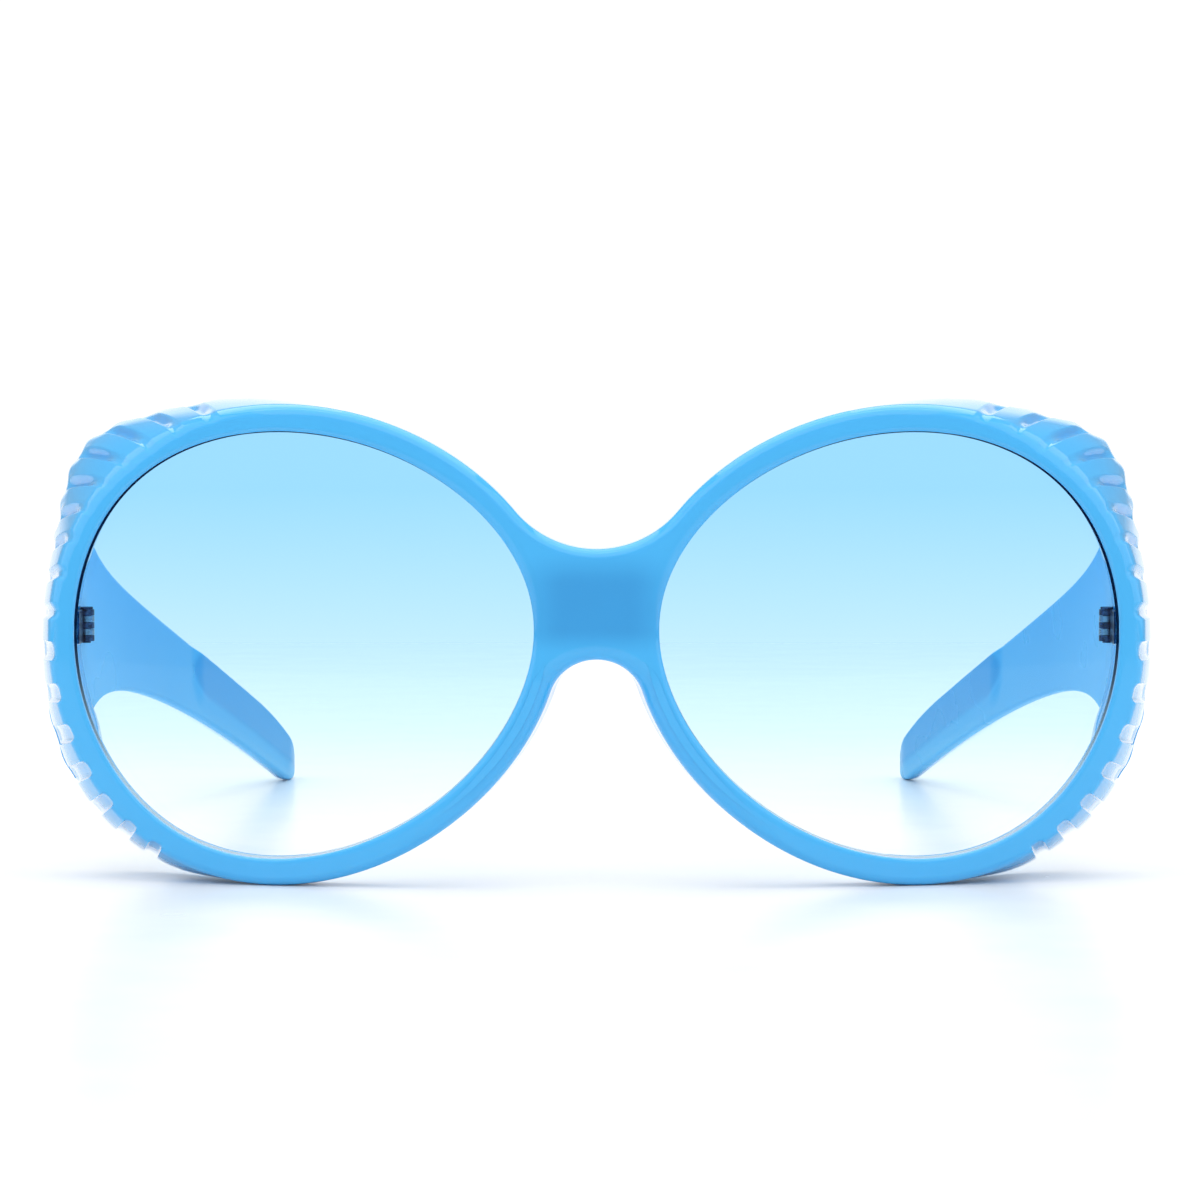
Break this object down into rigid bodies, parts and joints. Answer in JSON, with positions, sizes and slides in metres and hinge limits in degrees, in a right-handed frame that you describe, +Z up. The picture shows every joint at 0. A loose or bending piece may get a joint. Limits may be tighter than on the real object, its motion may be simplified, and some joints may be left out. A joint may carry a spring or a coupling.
{
  "type": "oversized sunglasses",
  "caption": "Oversized round sunglasses with gradient lenses, fluted shell-like flanks and fan-shaped temples that fold on screw hinges.",
  "frame": {"origin": "under the middle of the overall box, on the surface that the rims and the temple tips stand on", "axes": "+X to the wearer's left, +Y from the bridge back to the temple tips, +Z up"},
  "size_m": [0.1552, 0.145, 0.0661],
  "materials": {
    "frame_plastic": "polished, slightly translucent light blue",
    "lens_tint": "clear gradient tint, blue at the top",
    "hinge_metal": "dark nickel"
  },
  "bodies": {
    "front": {"frame_front": "frame_plastic", "lens_left": "lens_tint", "lens_right": "lens_tint", "front_hinge_leaf_left": "hinge_metal", "front_hinge_leaf_right": "hinge_metal", "hinge_screw_left": "hinge_metal", "hinge_screw_right": "hinge_metal"},
    "left_arm": {"temple_left": "frame_plastic", "temple_hinge_leaf_left": "hinge_metal"},
    "right_arm": {"temple_right": "frame_plastic", "temple_hinge_leaf_right": "hinge_metal"}
  },
  "joints": [
    {"name": "left_temple_fold", "type": "hinge", "parent": "front", "child": "left_arm", "pos_m": [0.07125, -0.04985, 0.0344], "axis": [0, 0, 1], "range_deg": [0, 82]},
    {"name": "right_temple_fold", "type": "hinge", "parent": "front", "child": "right_arm", "pos_m": [-0.07125, -0.04985, 0.0344], "axis": [0, 0, -1], "range_deg": [0, 76]}
  ]
}
